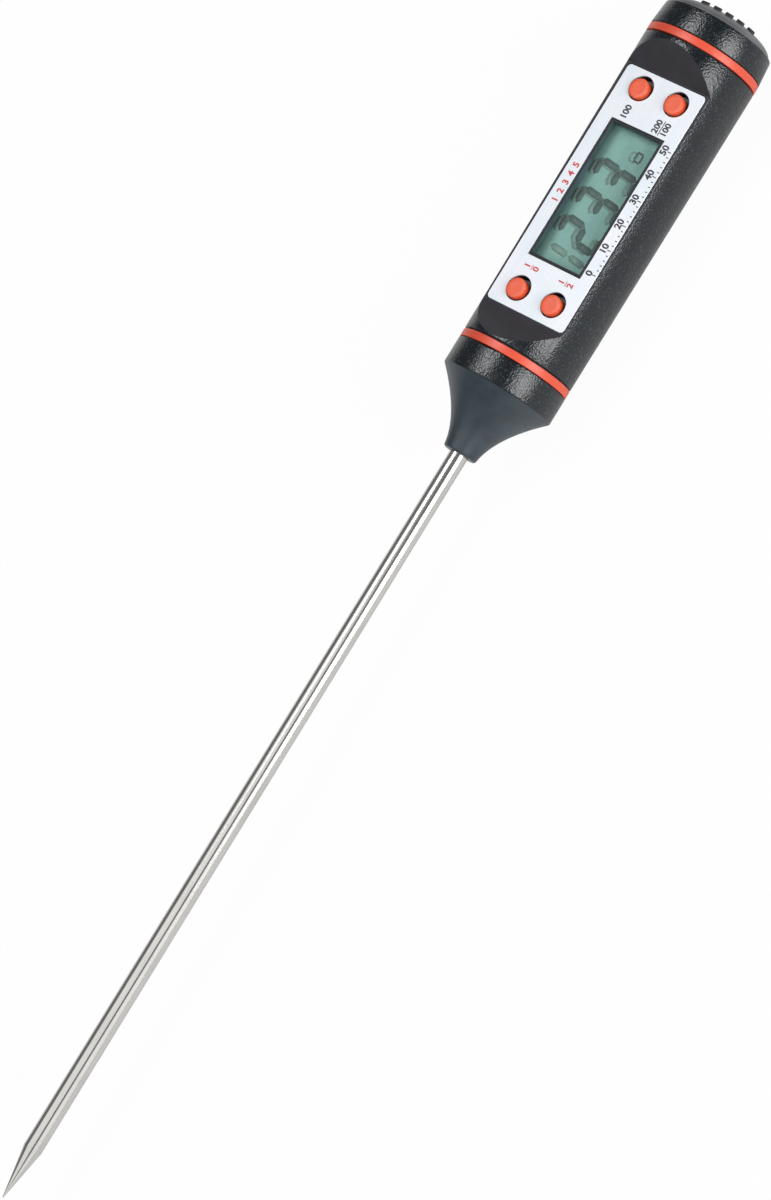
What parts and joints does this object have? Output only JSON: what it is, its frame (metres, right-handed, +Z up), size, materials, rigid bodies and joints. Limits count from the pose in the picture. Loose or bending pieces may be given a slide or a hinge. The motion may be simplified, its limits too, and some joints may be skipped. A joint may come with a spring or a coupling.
{
  "type": "digital probe thermometer",
  "caption": "Pen-type digital thermometer with a long pointed steel probe, a round handle with display and keys on a flat face, and a battery cap.",
  "frame": {"origin": "middle of the length, on the surface that the handle lies on, under the centre line", "axes": "+X along the probe from its point to the battery cap, +Z up out of the display face"},
  "size_m": [0.24, 0.022, 0.022],
  "materials": {
    "probe_steel": "mirror polished",
    "bushing_brass": "turned",
    "bead_glass": "sealed glass bead",
    "lead_insulation": "satin insulation",
    "nose_slate": "satin dark slate, textured collar",
    "trim_orange": "satin orange red",
    "handle_black": "spark textured black",
    "cap_black": "textured side, satin dome",
    "label_silver": "pale silver, satin",
    "frame_black": "smooth black",
    "window_clear": "clear, polished",
    "display_glass": "grey green liquid crystal glass",
    "reflector_foil": "bright foil",
    "contact_elastomer": "matte pink",
    "holder_white": "moulded white",
    "screw_steel": "zinc plated",
    "board_green": "solder resist",
    "resin_black": "glossy resin",
    "can_steel": "drawn can",
    "capacitor_tan": "fired ceramic",
    "key_orange": "satin orange red",
    "switch_black": "moulded",
    "plunger_white": "moulded",
    "contact_brass": "spring leaf",
    "cell_steel": "nickel plated",
    "seal_rubber": "matte black"
  },
  "bodies": {
    "handle": {"main_housing": "handle_black", "nose_cone": "nose_slate", "lower_trim_ring": "trim_orange", "upper_trim_ring": "trim_orange", "label_plate": "label_silver", "window_frame": "frame_black", "display_window": "window_clear", "lcd_front_glass": "display_glass", "lcd_rear_glass": "display_glass", "lcd_reflector": "reflector_foil", "contact_strip_left": "contact_elastomer", "contact_strip_right": "contact_elastomer", "lcd_holder": "holder_white", "circuit_board": "board_green", "holder_screw_front": "screw_steel", "holder_screw_rear": "screw_steel", "processor_blob": "resin_black", "crystal_can": "can_steel", "capacitor": "capacitor_tan", "cell_holder": "holder_white", "negative_contact": "contact_brass", "positive_contact": "contact_brass", "button_cell": "cell_steel", "probe_tube": "probe_steel", "probe_point": "probe_steel", "thermistor_bead": "bead_glass", "probe_bushing": "bushing_brass", "sensor_lead_left": "lead_insulation", "sensor_lead_right": "lead_insulation", "power_switch": "switch_black", "unit_switch": "switch_black", "hold_switch": "switch_black", "memory_switch": "switch_black"},
    "power_key": {"power_button": "key_orange", "power_plunger": "plunger_white"},
    "unit_key": {"unit_button": "key_orange", "unit_plunger": "plunger_white"},
    "hold_key": {"hold_button": "key_orange", "hold_plunger": "plunger_white"},
    "memory_key": {"memory_button": "key_orange", "memory_plunger": "plunger_white"},
    "cap_slide": {"cap_seal": "seal_rubber"},
    "cap": {"battery_cap": "cap_black"}
  },
  "joints": [
    {"name": "power_press", "type": "slide", "parent": "handle", "child": "power_key", "axis": [0, 0, -1], "range_m": [0, 0.0005], "stiffness_N_per_m": 3000},
    {"name": "unit_press", "type": "slide", "parent": "handle", "child": "unit_key", "axis": [0, 0, -1], "range_m": [0, 0.0005], "stiffness_N_per_m": 3000},
    {"name": "hold_press", "type": "slide", "parent": "handle", "child": "hold_key", "axis": [0, 0, -1], "range_m": [0, 0.0005], "stiffness_N_per_m": 3000},
    {"name": "memory_press", "type": "slide", "parent": "handle", "child": "memory_key", "axis": [0, 0, -1], "range_m": [0, 0.0005], "stiffness_N_per_m": 3000},
    {"name": "cap_pull", "type": "slide", "parent": "handle", "child": "cap_slide", "axis": [1, 0, 0], "range_m": [0, 0.015]},
    {"name": "cap_turn", "type": "hinge", "parent": "cap_slide", "child": "cap", "pos_m": [0.1121, 0, 0.01098], "axis": [1, 0, 0], "range_deg": [0, 90]}
  ]
}
